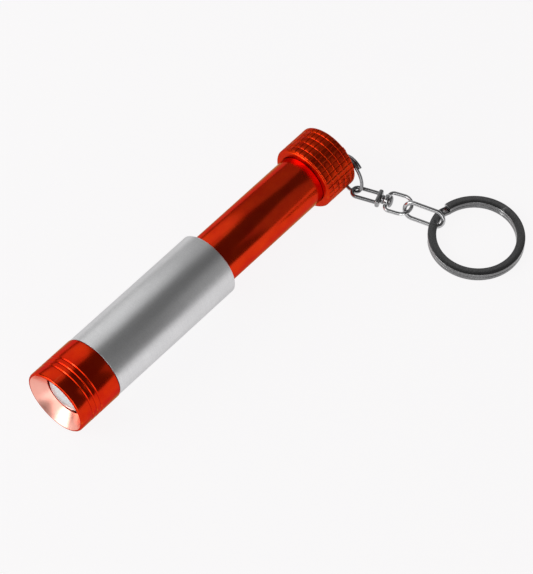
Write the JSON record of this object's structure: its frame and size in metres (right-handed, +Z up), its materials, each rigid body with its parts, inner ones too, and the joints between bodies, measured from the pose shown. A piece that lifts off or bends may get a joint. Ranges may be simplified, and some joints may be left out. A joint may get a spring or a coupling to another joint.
{
  "type": "keychain flashlight",
  "caption": "Telescopic metal keychain flashlight with a zoom head on a sliding sleeve, a twist tail cap, a swivel chain and a split key ring.",
  "frame": {"origin": "middle of the footprint of the whole object as it lies on a table, chain and key ring laid out beside the tail", "axes": "+X is the beam's direction along the torch's axis, +Z is up from the table, +Y is the side that the chain and key ring lie on"},
  "size_m": [0.1224, 0.0625, 0.0179],
  "materials": {
    "orange_anodised": "bright orange-red anodised, turned, with fine lathe marks",
    "satin_aluminium": "satin silver, bead blasted and clear anodised",
    "bright_nickel": "bright nickel plate",
    "dark_nickel": "dark polished nickel plate",
    "black_rubber": "matt black nitrile",
    "clear_lens": "clear polished acrylic",
    "black_nylon": "moulded black nylon",
    "board_white": "white solder mask and ceramic",
    "phosphor_yellow": "yellow phosphor under silicone",
    "brass": "plain turned brass",
    "cell_jacket": "plain shrink sleeve"
  },
  "bodies": {
    "barrel": {"battery_tube": "orange_anodised", "friction_ring": "black_rubber", "stop_ring": "bright_nickel", "seal_ring": "black_rubber", "led_holder": "black_nylon", "led_board": "board_white", "led_package": "board_white", "led_dome": "phosphor_yellow", "positive_contact": "brass", "aaa_cell": "cell_jacket"},
    "zoom_head": {"bezel_head": "orange_anodised", "outer_sleeve": "satin_aluminium", "lens": "clear_lens", "lens_gasket": "black_rubber", "lens_retainer": "black_nylon"},
    "cap": {"tail_cap": "orange_anodised", "tail_spring": "bright_nickel", "contact_disc": "brass"},
    "small_ring": {"small_split_ring": "bright_nickel"},
    "bail": {"swivel_bail": "bright_nickel", "swivel_rivet": "bright_nickel"},
    "loop": {"swivel_loop": "bright_nickel"},
    "link": {"chain_link": "bright_nickel"},
    "key_ring": {"key_ring": "dark_nickel"}
  },
  "joints": [
    {"name": "sleeve_slide", "type": "slide", "parent": "barrel", "child": "zoom_head", "axis": [-1, 0, 0], "range_m": [0, 0.0347]},
    {"name": "cap_twist", "type": "hinge", "parent": "barrel", "child": "cap", "pos_m": [-0.02913, -0.02225, 0.00894], "axis": [-1, 0, 0], "range_deg": [0, 90]},
    {"name": "small_ring_swing", "type": "hinge", "parent": "cap", "child": "small_ring", "pos_m": [-0.04143, -0.02018, 0.00819], "axis": [-0.0484, 0.5596, 0.8273], "range_deg": [0, 110]},
    {"name": "bail_swing", "type": "hinge", "parent": "small_ring", "child": "bail", "pos_m": [-0.0392, -0.01247, 0.00227], "axis": [-0.0172, 0.6674, 0.7445], "range_deg": [-40, 80]},
    {"name": "swivel_turn", "type": "hinge", "parent": "bail", "child": "loop", "pos_m": [-0.04208, -0.00496, 0.00242], "axis": [-0.3583, 0.9334, 0.0194], "continuous": true},
    {"name": "link_swing", "type": "hinge", "parent": "loop", "child": "link", "pos_m": [-0.04346, 0.00134, 0.00251], "axis": [0.9991, 0.0179, -0.0394], "range_deg": [-60, 60]},
    {"name": "key_ring_swing", "type": "hinge", "parent": "link", "child": "key_ring", "pos_m": [-0.04631, 0.01014, 0.00279], "axis": [-0.3265, -0.1017, 0.9397], "range_deg": [-20, 60]}
  ]
}
